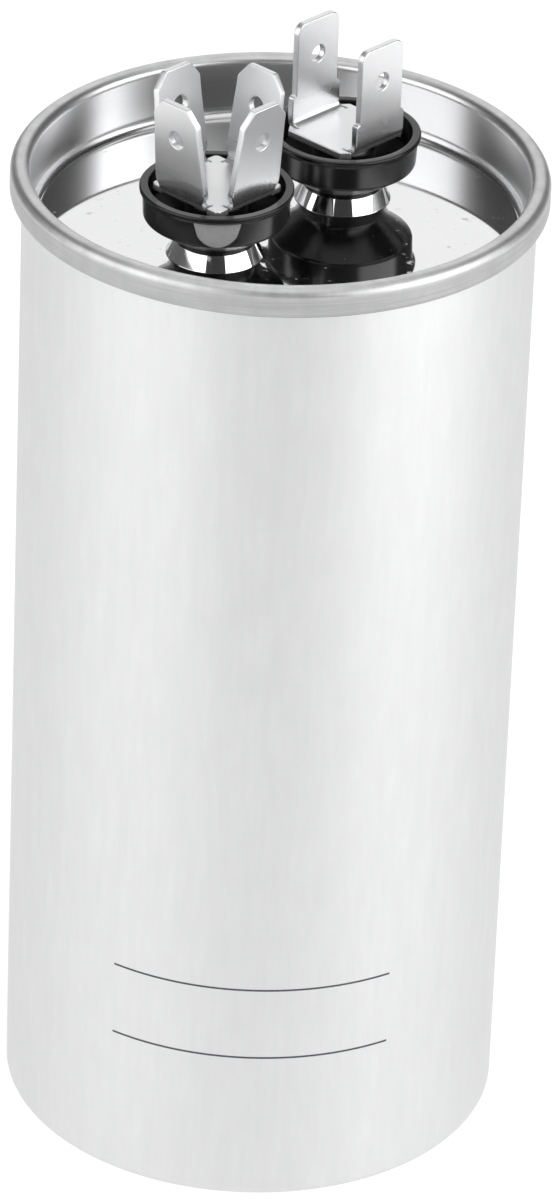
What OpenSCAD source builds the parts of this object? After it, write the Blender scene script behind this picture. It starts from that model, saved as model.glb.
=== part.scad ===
// Motor run capacitor: drawn can, double seamed lid, two insulated terminals with push-on blades.
// Units are millimetres. The middle of the base is at the origin, +Z is up, the terminals lie along X.

/* [Can] */
// outer diameter of the straight can wall
can_d = 55; // [50:1:70]
// height from the base to the crest of the seam
can_h = 113.5; // [90:0.5:160]
// thickness of the can sheet
can_t = 0.5; // [0.36:0.02:0.64]
// outer radius between the wall and the base
base_r = 1; // [0.8:0.1:3]

/* [Lid and seam] */
// thickness of the lid sheet
lid_t = 0.4; // [0.3:0.02:0.5]
// height of the rolled double seam
seam_h = 3.3; // [2.8:0.1:4.2]
// depth of the lid panel below the crest of the seam
lid_depth = 6.8; // [5.6:0.1:9]
// concave radius between the recess wall and the panel
lid_r = 1.2; // [0.6:0.1:2.2]
// diameter of the raised boss under each terminal
boss_d = 8.6; // [8.2:0.1:9.6]
// height of the raised boss
boss_h = 1.75; // [1.2:0.05:2.2]

/* [Terminal cups] */
// distance between the two terminal axes
terminal_pitch = 19.6; // [18.6:0.1:24]
// outer diameter of the cup rim
cup_d = 16.4; // [16:0.1:18.2]
// height of a cup above its boss
cup_h = 6.2; // [5.6:0.1:9]
// height of the upright band of a cup above its tapered underside
band_h = 3.5; // [2.8:0.1:4.2]
// wall thickness of a cup
cup_t = 0.65; // [0.5:0.05:0.8]

/* [Blades] */
// width of a push-on blade
blade_w = 6.3; // [5.6:0.1:6.7]
// sheet thickness of the terminals
blade_t = 0.8; // [0.5:0.05:1]
// height of the blade tips above the terminal plate
blade_h = 11.5; // [10:0.1:15]
// diameter of the detent hole in a blade
hole_d = 2; // [1.4:0.1:2.4]
// distance of the detent hole below the tip
hole_drop = 4.2; // [3.4:0.1:5]
// distance between the two parallel blades, middle to middle
pair_span = 9.4; // [9:0.1:10]
// distance between opposite blades of the four blade terminal at the plate
quad_span = 10.4; // [10:0.1:10.8]
// outward lean of the four blades in degrees
quad_lean = 7; // [0:0.5:9]

/* [Inside] */
// clearance between the wrapped winding and the can
side_gap = 1.8; // [1.4:0.1:3]
// room for the leads above the winding cover
lead_room = 8; // [7:0.5:14]
// thickness of the moulded base tray
tray_t = 4.8; // [4.2:0.1:8]

/* [Hidden] */
$fn = 96;

// radii of the can, the recess wall and the nested layers of the seam
can_ro = can_d / 2;
can_ri = can_ro - can_t;
recess_r = can_ri - lid_t;
hook_ri = can_ro + lid_t;
hook_ro = hook_ri + can_t;
seam_ro = hook_ro + lid_t;
fold_ri = 0.45 * can_t;
fold_ro = fold_ri + lid_t;
// the crest of the seam is rolled to a rounder form than its lower edge
crest_ri = 1.1 * can_t;
crest_ro = crest_ri + lid_t;
// the can wall leans inward by this much inside the seam
seam_draft = 0.06;

// heights of the seam and the lid
seam_z = can_h - seam_h;
hook_top = can_h - lid_t;
hook_tip = seam_z + lid_t;
panel_z = can_h - lid_depth;
panel_under = panel_z - lid_t;
boss_z = panel_z + boss_h;
boss_under = boss_z - lid_t;
boss_r = boss_d / 2;
// the boss widens towards its foot, and the sheet keeps its thickness in the slope
boss_flare = 0.5 * boss_h;
boss_foot_r = boss_r + boss_flare;
boss_skin = lid_t * sqrt(1 + boss_flare * boss_flare / (boss_h * boss_h));
boss_in_r = boss_r + boss_flare * lid_t / boss_h - boss_skin;
boss_low_r = boss_foot_r + boss_flare * lid_t / boss_h - boss_skin;

// terminal cups, rivets and what holds them under the lid
terminal_x = terminal_pitch / 2;
rim_r = cup_d / 2;
cup_wall_r = rim_r - 0.33;
cup_low_r = cup_wall_r - 0.12;
cup_in_r = cup_wall_r - cup_t;
rim_z = boss_z + cup_h;
lip_h = 0.8;
lip_band = 0.5;
lip_edge = 0.2;
band_z = rim_z - band_h;
band_edge = 0.3;
neck_h = 0.25;
neck_r = boss_r - 0.15;
cone_z = boss_z + neck_h;
taper = (cup_low_r - neck_r) / (band_z - cone_z);
slope = sqrt(1 + taper * taper);
floor_z = cone_z + cup_t;
cone_in_z = band_z + (cup_in_r - cup_low_r + cup_t * slope) / taper;
floor_r = cup_in_r - taper * (cone_in_z - floor_z);
// flat left on the band of one cup where the moulding gate was trimmed
gate_depth = 0.6 * cup_t;
gate_foot = 0.25 * cup_t;
gate_turn = -135;
plate_z = rim_z + 0.15;
plate_under = plate_z - blade_t;
head_t = 1;
head_r = 3;
pillar_r = 3.4;
pillar_z = plate_under - head_t;
shank_r = 1.9;
spigot_r = 2.9;
washer_r = 6.6;
washer_t = 1.2;
washer_z = panel_under - washer_t;
contact_r = 5;
contact_t = 0.5;
contact_z = washer_z - contact_t;
clinch_r = 2.9;
clinch_t = 0.9;

// the two terminals
bend_pair = 0.7;
bend_quad = 0.8;
pair_root = blade_w + 1;
quad_root = blade_w;
relief = 0.15;
pair_line = pair_span / 2 - blade_t / 2 - bend_pair;
quad_line = quad_span / 2 - blade_t / 2 - bend_quad;
pair_ear = 4.8;
pair_side = pair_line + 0.95;
ear_cut_x = 0.95;
ear_cut_y = 0.75;
slot_in = 0.35;
quad_ear = 4.9;
ear_r = 0.5;
// outline of the blades: shoulder below the tip, tip corners
shoulder_drop = 8.3;
tip_r = 1.2;
tip_cut_x = 1.4;
tip_cut_y = 1.7;
quad_step = 0.4;

// the winding stack
tray_z = can_t;
spray_z = tray_z + tray_t;
spray_t = 0.8;
cover_t = 2;
cover_z = contact_z - lead_room;
stack_z = cover_z - cover_t;
wrap_t = 0.4;
wrap_r = can_ri - side_gap;
winding_r = wrap_r - wrap_t;
core_ro = 3.2;
core_ri = 2.2;
collar_h = 4;
lead_r = 0.7;
lead_bend = 1.5;
lead_off = 4;
foot_x = 8;
foot_z = spray_z - 0.3 - lead_bend;

// the scrap outside a rounded corner at (x, y) whose inside lies towards (sx, sy)
module scrap2d(x, y, sx, sy, r) {
    translate([x + sx * r, y + sy * r]) difference() {
        translate([sx > 0 ? -r - 0.1 : 0, sy > 0 ? -r - 0.1 : 0]) square(r + 0.1);
        circle(r);
    }
}

// a quarter of a bent sheet about (x, y), on the side (sx, sy)
module fold2d(x, y, ri, ro, sx, sy) {
    translate([x, y]) intersection() {
        difference() {
            circle(ro);
            circle(ri);
        }
        translate([sx > 0 ? 0 : -ro - 1, sy > 0 ? 0 : -ro - 1]) square(ro + 1);
    }
}

// a straight run of sheet from (x0, y0) to (x1, y1)
module run2d(x0, y0, x1, y1) {
    translate([x0, y0]) square([x1 - x0, y1 - y0]);
}

// floor, wall and the hook that is folded over the lid edge in the seam
module can() {
    color("#dcdedf") rotate_extrude() {
        run2d(0, 0, can_ro - base_r, can_t);
        fold2d(can_ro - base_r, base_r, base_r - can_t, base_r, 1, -1);
        difference() {
            run2d(can_ri, base_r, hook_ro, hook_top);
            run2d(can_ro, base_r - 1, hook_ro + 1, hook_tip);
            polygon([[can_ro, seam_z], [hook_ri, seam_z], [hook_ri, hook_top - can_t],
                [can_ro - seam_draft, hook_top - can_t]]);
            scrap2d(can_ri, hook_top, 1, -1, crest_ri);
            scrap2d(hook_ro, hook_top, -1, -1, crest_ri);
            scrap2d(hook_ri, hook_tip, 1, 1, fold_ri);
            scrap2d(hook_ro, hook_tip, -1, 1, fold_ri);
        }
    }
}

// rolled edge, recess wall and panel of the lid in one sheet
module lid_sheet() {
    rotate_extrude() {
        polygon([[can_ro, seam_z + fold_ro], [hook_ri, seam_z + fold_ro], [hook_ri, hook_top - can_t],
            [can_ro - seam_draft, hook_top - can_t]]);
        fold2d(can_ro + fold_ro, seam_z + fold_ro, fold_ri, fold_ro, -1, -1);
        run2d(can_ro + fold_ro, seam_z, seam_ro - fold_ro, hook_tip);
        fold2d(seam_ro - fold_ro, seam_z + fold_ro, fold_ri, fold_ro, 1, -1);
        run2d(hook_ro, seam_z + fold_ro, seam_ro, can_h - crest_ro);
        fold2d(seam_ro - crest_ro, can_h - crest_ro, crest_ri, crest_ro, 1, 1);
        run2d(recess_r + crest_ro, hook_top, seam_ro - crest_ro, can_h);
        fold2d(recess_r + crest_ro, can_h - crest_ro, crest_ri, crest_ro, -1, 1);
        run2d(recess_r, panel_z + lid_r, can_ri, can_h - crest_ro);
        fold2d(recess_r - lid_r, panel_z + lid_r, lid_r, lid_r + lid_t, 1, -1);
        run2d(0, panel_under, recess_r - lid_r, panel_z);
    }
}

// raised boss around a terminal hole, pressed up from the panel
module boss() {
    rotate_extrude() polygon([[0, panel_under], [boss_foot_r, panel_under], [boss_foot_r, panel_z],
        [boss_r, boss_z], [0, boss_z]]);
}

// the hollow under a boss
module boss_hollow() {
    rotate_extrude() polygon([[0, panel_under - 1], [boss_low_r, panel_under - 1],
        [boss_low_r, panel_under], [boss_in_r, boss_under], [0, boss_under]]);
}

module lid() {
    color("#c9ccce") difference() {
        union() {
            lid_sheet();
            translate([-terminal_x, 0, 0]) boss();
            translate([terminal_x, 0, 0]) boss();
        }
        for (x = [-terminal_x, terminal_x]) {
            translate([x, 0, 0]) boss_hollow();
            translate([x, 0, panel_under - 1]) cylinder(r = spigot_r, h = boss_h + 3);
        }
    }
}

// insulating cup: upright band with a lip and a tapered underside,
// a pillar for the rivet and a spigot that lines the lid hole
module cup() {
    edge_z = band_edge / slope;
    rotate_extrude() difference() {
        union() {
            polygon([[0, boss_z], [neck_r, boss_z], [neck_r, cone_z],
                [cup_low_r - edge_z * taper, band_z - edge_z], [cup_low_r, band_z + band_edge],
                [cup_wall_r, rim_z - lip_h], [rim_r, rim_z - lip_band], [rim_r, rim_z - lip_edge],
                [rim_r - lip_edge, rim_z], [0, rim_z]]);
            run2d(0, boss_under, spigot_r, boss_z);
        }
        difference() {
            polygon([[0, floor_z], [floor_r, floor_z], [cup_in_r, cone_in_z], [cup_in_r, rim_z + 1],
                [0, rim_z + 1]]);
            run2d(0, boss_z, pillar_r, pillar_z);
        }
        run2d(-1, boss_under - 1, shank_r, rim_z + 1);
    }
}

// what the trimmed gate takes off the band, deepest just under the lip
module gate_trim() {
    rotate(gate_turn) rotate([90, 0, 0]) linear_extrude(height = cup_d, center = true)
        polygon([[cup_low_r - gate_foot, band_z - band_edge], [cup_wall_r - gate_depth, rim_z - lip_h],
            [rim_r + 1, rim_z - lip_h], [rim_r + 1, band_z - band_edge]]);
}

// solid rivet: head welded under the terminal plate, shank, clinched end
module rivet() {
    rotate_extrude() {
        run2d(0, contact_z - clinch_t, clinch_r, contact_z);
        run2d(0, contact_z, shank_r, pillar_z);
        run2d(0, pillar_z, head_r, plate_under);
    }
}

// insulating washer under the lid with a plug that fills the boss
module washer() {
    rotate_extrude() {
        run2d(shank_r, washer_z, washer_r, panel_under);
        polygon([[shank_r, panel_under], [boss_low_r, panel_under], [boss_in_r, boss_under],
            [shank_r, boss_under]]);
    }
}

// contact ring held against the washer by the clinched end
module contact() {
    translate([0, 0, contact_z]) difference() {
        cylinder(r = contact_r, h = contact_t);
        translate([0, 0, -1]) cylinder(r = shank_r, h = contact_t + 2);
    }
}

// straight sided blade with rounded tip corners and shoulders, drawn flat from its bend line
module pair_blade2d(len) {
    half = blade_w / 2;
    difference() {
        union() {
            translate([-half, 0]) square([blade_w, len]);
            translate([-pair_root / 2, 0]) square([pair_root, max(1, len - shoulder_drop)]);
        }
        scrap2d(-half, len, 1, -1, tip_r);
        scrap2d(half, len, -1, -1, tip_r);
        translate([0, len - hole_drop]) circle(d = hole_d);
    }
}

// tapered blade with cut tip corners, drawn flat from its bend line
module quad_blade2d(len) {
    half = blade_w / 2;
    root = quad_root / 2;
    wide = root + quad_step;
    low = len - tip_cut_y - 1.1;
    high = len - tip_cut_y;
    tip = half - tip_cut_x;
    difference() {
        polygon([[-root, 0], [root, 0], [wide, 0.6], [wide, 1.2], [half, low], [half, high], [tip, len],
            [-tip, len], [-half, high], [-half, low], [-wide, 1.2], [-wide, 0.6]]);
        translate([0, len - hole_drop]) circle(d = hole_d);
    }
}

// bend and blade on the +X side of a plate whose top is at z = 0
module folded_blade(line, bend, lean, root, pair) {
    reach = 4 * (bend + blade_t);
    len = (blade_h - bend) / cos(lean);
    translate([line, 0, bend]) {
        rotate([90, 0, 0]) linear_extrude(height = root, center = true) intersection() {
            difference() {
                circle(bend + blade_t);
                circle(bend);
            }
            translate([0, -reach]) square(reach);
            rotate(-lean) translate([0, -reach]) square(reach);
        }
        rotate([0, lean, 0]) translate([bend, 0, 0]) rotate([90, 0, 90]) linear_extrude(height = blade_t) {
            if (pair) {
                pair_blade2d(len);
            } else {
                quad_blade2d(len);
            }
        }
    }
}

// plate with four upright blades, one on each side
module quad_terminal() {
    clear = quad_root / 2 + relief;
    translate([0, 0, plate_z]) {
        translate([0, 0, -blade_t]) linear_extrude(height = blade_t) difference() {
            translate([-quad_ear, -quad_ear]) square(2 * quad_ear);
            for (a = [0, 90, 180, 270]) {
                rotate(a) run2d(quad_line, -clear, quad_ear + 1, clear);
                rotate(a) scrap2d(quad_ear, quad_ear, -1, -1, ear_r);
            }
        }
        for (a = [0, 90, 180, 270]) {
            rotate(a) folded_blade(quad_line, bend_quad, quad_lean, quad_root, false);
        }
    }
}

// plate with two parallel blades and an ear beside each root
module pair_terminal() {
    clear = pair_root / 2 + relief;
    cut_x = pair_ear - ear_cut_x;
    cut_y = pair_side - ear_cut_y;
    translate([0, 0, plate_z]) {
        translate([0, 0, -blade_t]) linear_extrude(height = blade_t) difference() {
            polygon([[-pair_ear, -cut_y], [-cut_x, -pair_side], [cut_x, -pair_side], [pair_ear, -cut_y],
                [pair_ear, cut_y], [cut_x, pair_side], [-cut_x, pair_side], [-pair_ear, cut_y]]);
            for (a = [0, 180]) {
                rotate(a) run2d(-clear, pair_line, clear, pair_side + 1);
                rotate(a) run2d(pair_root / 2, pair_line - slot_in, clear, pair_side + 1);
                rotate(a) run2d(-clear, pair_line - slot_in, -pair_root / 2, pair_side + 1);
            }
        }
        for (a = [90, 270]) {
            rotate(a) folded_blade(pair_line, bend_pair, 0, pair_root, true);
        }
    }
}

module four_tab_cup() {
    color("#1c1c1e") translate([-terminal_x, 0, 0]) difference() {
        cup();
        gate_trim();
    }
}

module two_tab_cup() {
    color("#1c1c1e") translate([terminal_x, 0, 0]) cup();
}

module four_tab_rivet() {
    color("#b4b6b8") translate([-terminal_x, 0, 0]) rivet();
}

module two_tab_rivet() {
    color("#b4b6b8") translate([terminal_x, 0, 0]) rivet();
}

module four_tab_terminal() {
    color("#c4c6c8") translate([-terminal_x, 0, 0]) quad_terminal();
}

module two_tab_terminal() {
    color("#c4c6c8") translate([terminal_x, 0, 0]) pair_terminal();
}

module four_tab_washer() {
    color("#2a2a2c") translate([-terminal_x, 0, 0]) washer();
}

module two_tab_washer() {
    color("#2a2a2c") translate([terminal_x, 0, 0]) washer();
}

module four_tab_contact() {
    color("#c9a35a") translate([-terminal_x, 0, 0]) contact();
}

module two_tab_contact() {
    color("#c9a35a") translate([terminal_x, 0, 0]) contact();
}

// moulded tray that centres the winding and leaves a pocket for the foot of the long lead
module base_tray() {
    color("#e8e6dc") difference() {
        rotate_extrude() {
            polygon([[0, tray_z], [can_ri - base_r, tray_z], [can_ri, tray_z + base_r], [can_ri, spray_z],
                [0, spray_z]]);
            run2d(wrap_r, spray_z, can_ri, spray_z + collar_h);
        }
        translate([-1.4, -1.4, spray_z - 3]) cube([foot_x + 2.8, 2.8, 4]);
    }
}

module bottom_spray() {
    color("#9a9c9e") translate([0, 0, spray_z]) difference() {
        cylinder(r = winding_r, h = spray_t);
        translate([0, 0, -1]) cylinder(r = core_ro, h = spray_t + 2);
    }
}

// wound metallised film, its turns as one solid
module winding() {
    color("#d8d4c4") translate([0, 0, spray_z + spray_t]) difference() {
        cylinder(r = winding_r, h = stack_z - spray_z - 2 * spray_t);
        translate([0, 0, -1]) cylinder(r = core_ro, h = stack_z - spray_z);
    }
}

module core_tube() {
    color("#e4e0d0") translate([0, 0, spray_z]) difference() {
        cylinder(r = core_ro, h = cover_z + 1 - spray_z);
        translate([0, 0, -1]) cylinder(r = core_ri, h = cover_z + 3 - spray_z);
    }
}

module winding_wrap() {
    color("#cfc79a") translate([0, 0, spray_z]) difference() {
        cylinder(r = wrap_r, h = stack_z - spray_z);
        translate([0, 0, -1]) cylinder(r = winding_r, h = stack_z - spray_z + 2);
    }
}

module top_spray() {
    color("#9a9c9e") translate([0, 0, stack_z - spray_t]) difference() {
        cylinder(r = winding_r, h = spray_t);
        translate([0, 0, -1]) cylinder(r = core_ro, h = spray_t + 2);
    }
}

// moulded cover over the winding with a collar and openings for the core tube and the short lead
module winding_cover() {
    color("#e8e6dc") difference() {
        rotate_extrude() {
            run2d(core_ro, stack_z, can_ri, cover_z);
            run2d(wrap_r, stack_z - collar_h, can_ri, stack_z);
        }
        translate([-terminal_x - lead_off, 0, stack_z - 1]) cylinder(r = lead_r + 0.6, h = cover_t + 2);
    }
}

// lead from the top spray straight up to the contact of the four blade terminal
module short_lead() {
    color("#b98a4a") translate([-terminal_x - lead_off, 0, stack_z])
        cylinder(r = lead_r, h = contact_z - stack_z);
}

// quarter bend of a lead about the Y direction, on the side (sx, sz) of its centre
module lead_bend_at(x, z, sx, sz) {
    size = lead_bend + lead_r + 1;
    translate([x, 0, z]) intersection() {
        rotate([90, 0, 0]) rotate_extrude() translate([lead_bend, 0]) circle(lead_r);
        translate([sx > 0 ? 0 : -size, -size, sz > 0 ? 0 : -size]) cube([size, 2 * size, size]);
    }
}

// lead from the other contact through the core to the bottom spray
module long_lead() {
    top_x = terminal_x - lead_off;
    down_z = contact_z - 1;
    run_z = down_z - lead_bend;
    color("#b98a4a") {
        translate([top_x, 0, down_z]) cylinder(r = lead_r, h = 1);
        lead_bend_at(top_x - lead_bend, down_z, 1, -1);
        translate([lead_bend, 0, run_z]) rotate([0, 90, 0]) cylinder(r = lead_r, h = top_x - 2 * lead_bend);
        lead_bend_at(lead_bend, run_z - lead_bend, -1, 1);
        translate([0, 0, foot_z + lead_bend]) cylinder(r = lead_r, h = run_z - foot_z - 2 * lead_bend);
        lead_bend_at(lead_bend, foot_z + lead_bend, -1, -1);
        translate([lead_bend, 0, foot_z]) rotate([0, 90, 0]) cylinder(r = lead_r, h = foot_x - 2 * lead_bend);
        lead_bend_at(foot_x - lead_bend, foot_z + lead_bend, 1, -1);
        translate([foot_x, 0, foot_z + lead_bend]) cylinder(r = lead_r, h = spray_z - foot_z - lead_bend);
    }
}

can();
lid();
four_tab_cup();
two_tab_cup();
four_tab_rivet();
two_tab_rivet();
four_tab_terminal();
two_tab_terminal();
four_tab_washer();
two_tab_washer();
four_tab_contact();
two_tab_contact();
base_tray();
bottom_spray();
winding();
core_tube();
winding_wrap();
top_spray();
winding_cover();
short_lead();
long_lead();
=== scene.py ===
"""Motor run capacitor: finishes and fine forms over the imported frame, laid out as an add-on."""
import math

import bmesh
import bpy
from mathutils import Matrix, Vector


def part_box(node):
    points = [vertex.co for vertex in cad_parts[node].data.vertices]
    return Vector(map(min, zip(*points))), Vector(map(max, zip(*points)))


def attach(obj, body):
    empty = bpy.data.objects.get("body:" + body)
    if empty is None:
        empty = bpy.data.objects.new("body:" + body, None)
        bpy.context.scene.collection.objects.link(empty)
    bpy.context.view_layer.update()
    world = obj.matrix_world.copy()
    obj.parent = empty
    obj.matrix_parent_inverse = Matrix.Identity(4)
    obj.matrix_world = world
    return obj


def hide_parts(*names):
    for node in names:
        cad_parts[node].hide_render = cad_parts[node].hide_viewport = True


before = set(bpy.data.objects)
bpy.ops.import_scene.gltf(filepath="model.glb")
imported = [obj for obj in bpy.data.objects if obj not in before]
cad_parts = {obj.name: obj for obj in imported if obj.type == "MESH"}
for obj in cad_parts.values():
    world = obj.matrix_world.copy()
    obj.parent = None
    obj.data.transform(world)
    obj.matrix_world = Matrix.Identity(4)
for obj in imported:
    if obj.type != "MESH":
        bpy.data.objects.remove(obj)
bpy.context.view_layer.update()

bl_info = {
    "name": "Motor run capacitor",
    "version": (1, 0, 0),
    "blender": (4, 5, 0),
    "location": "View3D > Sidebar > Capacitor",
    "description": "Seamed metal can with a sunk lid, insulating cups and push-on blade terminals",
    "category": "Object",
}

BODY = "root"
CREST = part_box("lid")[1][2]
CUP_LOW, CUP_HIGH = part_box("two_tab_cup")

# steps of the turned pieces that are smaller than the can
BOSS_SEGMENTS = 96
CUP_SEGMENTS = 160
RULE_SEGMENTS = 64

# seam: inner radii of its folds as shares of the can sheet, and the draft of the can inside it
FOLD_SHARE = 0.45
CREST_SHARE = 1.1
SEAM_DRAFT = 0.00006

# lid: the panel that each turned piece brings along, and the rounding of a boss
PANEL_MARGIN = 0.0006
BOSS_EDGE = 0.00015

# cup: radii of spigot, pillar and shank, the neck, the draft of the band and the reach of the lip
SPIGOT_RADIUS = 0.0029
SPIGOT_CHAMFER = 0.00006
PILLAR_RADIUS = 0.0034
PILLAR_CHAMFER = 0.0001
SHANK_RADIUS = 0.0019
RIVET_HEAD = 0.001
NECK_HEIGHT = 0.00025
NECK_INSET = 0.00015
BAND_DRAFT = 0.00012
LIP_OVERHANG = 0.00033
LIP_BAND = 0.0005
PLATE_LIFT = 0.00015

# cup: rounding of the neck, of the band's foot and head, of the rim and of the mouth
NECK_ROUND = 0.0003
FOOT_ROUND = 0.0006
HEAD_ROUND = 0.00025
RIM_ROUND = 0.0002
MOUTH_ROUND = 0.00015

# gate flat: its foot as a share of the cup wall, and its run below the band
GATE_FOOT = 0.25
GATE_RUN = 0.0003

# pale patch on the gate flat: its half width and tail, the power of its bow and the softness of its end
GATE_HALF_WIDTH = 0.0026
GATE_TAIL = 0.0001
GATE_BOW = 1.7
GATE_END_FADE = (0.94, 1.04)

# finishes: where one runs into the next, as stretches from the edge that it follows
WALL_FADE = (-0.0009, -0.0002)
SEAM_FADE = (0.0001, 0.0007)
CREST_FADE = (-0.0011, -0.0003)
FOOT_RISE = (0, 0.0004)
FOOT_FADE = (0.0018, 0.0036)
GATE_FADE = (-0.00003, -0.000008)
GATE_TOP_FADE = (-0.00004, 0)

# printed rules: how far the ink stands out of the wall and reaches into it
INK_PROUD = 0.000015
INK_SUNK = 0.00002

# distances at which points are one, and the slack when points are told apart
WELD = 0.000001
FINE_WELD = 0.0000005
CUT_SNAP = 0.0000002
ARM_SLACK = 0.0000001
BEND_SLACK = 0.000000001

# a face is flat if its area in square metres is larger and its normal is nearer to a flat's than this
FLAT_AREA = 0.000000001
FLAT_COSINE = 0.9998
GATE_COSINE = 0.99999

# folded sheet: least divisor at a sharp corner of an inset loop, and the directions of the four blades
MITRE_LIMIT = 0.35
QUARTERS = ((1, 0), (0, 1), (-1, 0), (0, -1))


def length(name, text, value):
    """A size in metres that a user may change."""
    return bpy.props.FloatProperty(
        name=name, description=text, default=value, unit="LENGTH", subtype="DISTANCE", precision=5
    )


def angular(name, text, value):
    """An angle in radians that a user may change."""
    return bpy.props.FloatProperty(name=name, description=text, default=value, subtype="ANGLE")


def colour(name, text, value):
    """A colour that a user may change."""
    return bpy.props.FloatVectorProperty(
        name=name, description=text, default=value, size=3, min=0, max=1, subtype="COLOR"
    )


class CanSizes(bpy.types.PropertyGroup):
    """Sizes of the drawn can and of the seam."""

    wall_radius: length("Wall radius", "Outer radius of the straight wall", 0.0275)
    sheet: length("Can sheet", "Thickness of the can sheet", 0.0005)
    base_edge: length("Base edge", "Outer radius between the wall and the base", 0.001)
    crest: length("Crest", "Height of the crest of the seam", CREST)
    seam_height: length("Seam height", "Height of the rolled seam", 0.0033)
    segments: bpy.props.IntProperty(name="Segments", description="Steps around the can", default=224, min=48)


class LidSizes(bpy.types.PropertyGroup):
    """Sizes of the sunk lid."""

    sheet: length("Lid sheet", "Thickness of the lid sheet", 0.0004)
    depth: length("Depth", "Depth of the panel below the crest", 0.0068)
    corner: length("Corner", "Concave radius between the recess wall and the panel", 0.0012)
    boss_radius: length("Boss radius", "Radius of the raised boss under a cup", 0.0043)
    boss_height: length("Boss height", "Height of the raised boss", 0.00175)
    boss_flare: length("Boss flare", "Widening of the boss towards its foot", 0.000875)


class CupSizes(bpy.types.PropertyGroup):
    """Sizes of the insulating cups."""

    axis: length("Axis", "Distance of a terminal axis from the can axis", 0.0098)
    rim_radius: length("Rim radius", "Outer radius of the rim", (CUP_HIGH[0] - CUP_LOW[0]) / 2)
    height: length("Height", "Height of a cup above its boss", 0.0062)
    wall: length("Wall", "Wall thickness of a cup", 0.00065)
    band: length("Band", "Height of the upright band above the tapered underside", 0.0035)
    lip: length("Lip", "Depth of the lip below the rim", 0.0008)
    gate_depth: length("Gate depth", "Depth of the flat where the moulding gate was trimmed", 0.00039)
    gate_turn: angular("Gate turn", "Direction that the gate flat faces", math.radians(-135))


class BladeSizes(bpy.types.PropertyGroup):
    """Sizes of the folded terminals."""

    width: length("Blade width", "Width of a push-on blade", 0.0063)
    sheet: length("Blade sheet", "Thickness of the terminal sheet", 0.0008)
    height: length("Blade height", "Height of the tips above the plate", 0.0115)
    hole: length("Hole radius", "Radius of the detent hole", 0.001)
    hole_drop: length("Hole drop", "Distance of the detent hole below the tip", 0.0042)
    pair_span: length("Pair span", "Distance between the two parallel blades", 0.0094)
    quad_span: length("Quad span", "Distance between opposite blades of the four", 0.0104)
    quad_lean: angular("Lean", "Outward lean of the four blades", math.radians(7))
    edge: length("Edge", "Rounding of the stamped edges", 0.00013)


class PrintSizes(bpy.types.PropertyGroup):
    """Sizes of the two printed rules."""

    upper: length("Upper rule", "Height of the upper rule", 0.02705)
    lower: length("Lower rule", "Height of the lower rule", 0.0183)
    line: length("Line", "Width of a rule", 0.00022)
    middle: angular("Middle", "Direction that the rules face", math.radians(-136.8))
    spread: angular("Spread", "Angle that a rule covers", math.radians(66.4))


class FinishColours(bpy.types.PropertyGroup):
    """Colours of the finishes."""

    can: colour("Can", "Satin can metal", (0.728, 0.73, 0.735))
    lid: colour("Lid", "Bright lid metal", (0.88, 0.882, 0.888))
    blade: colour("Blade", "Tinned blade metal", (0.805, 0.808, 0.815))
    cup: colour("Cup", "Black moulding", (0.008, 0.008, 0.0085))
    # pale colour of the U-shaped patch painted on the gate flat
    gate: colour("Gate", "Trimmed gate of the moulding", (0.31, 0.31, 0.315))
    ink: colour("Ink", "Printed rules", (0.045, 0.046, 0.05))


class StageSetup(bpy.types.PropertyGroup):
    """Camera and light."""

    camera_turn: angular("Turn", "Direction of the camera around the can", math.radians(47))
    camera_out: length("Camera distance", "Level distance of the camera from the can axis", 0.696897)
    camera_up: length("Camera height", "Height of the camera above the base", 0.460082)
    camera_dip: angular("Dip", "Downward tilt of the camera", 0.5207)
    camera_yaw: angular("Yaw", "Sideways turn of the camera", 0.0023)
    camera_roll: angular("Roll", "Roll of the camera", 0.0385)
    lens: bpy.props.FloatProperty(
        name="Lens", description="Focal length in millimetres", default=219.3, subtype="DISTANCE_CAMERA"
    )
    floor: colour("Floor", "Pale floor", (0.92, 0.92, 0.92))


# profiles


def arc(x, z, radius, start, end, steps):
    """Points of an arc about (x, z), angles in degrees."""
    turns = [math.radians(start + (end - start) * i / steps) for i in range(steps + 1)]
    return [(x + radius * math.cos(t), z + radius * math.sin(t)) for t in turns]


def seam_sizes(scene):
    """Radii and heights that the can and the lid share in the seam."""
    can = scene.capacitor_can
    lid = scene.capacitor_lid
    s = {}
    s["wall"] = can.wall_radius
    s["inner"] = can.wall_radius - can.sheet
    s["recess"] = s["inner"] - lid.sheet
    s["hook_in"] = can.wall_radius + lid.sheet
    s["hook_out"] = s["hook_in"] + can.sheet
    s["outer"] = s["hook_out"] + lid.sheet
    s["fold_in"] = FOLD_SHARE * can.sheet
    s["fold_out"] = s["fold_in"] + lid.sheet
    s["crest_in"] = CREST_SHARE * can.sheet
    s["crest_out"] = s["crest_in"] + lid.sheet
    s["crest"] = can.crest
    s["seam"] = can.crest - can.seam_height
    s["hook_top"] = can.crest - lid.sheet
    s["hook_tip"] = s["seam"] + lid.sheet
    s["clamp"] = s["hook_top"] - can.sheet
    s["panel"] = can.crest - lid.depth
    s["under"] = s["panel"] - lid.sheet
    s["boss"] = s["panel"] + lid.boss_height
    s["boss_under"] = s["boss"] - lid.sheet
    return s


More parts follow.
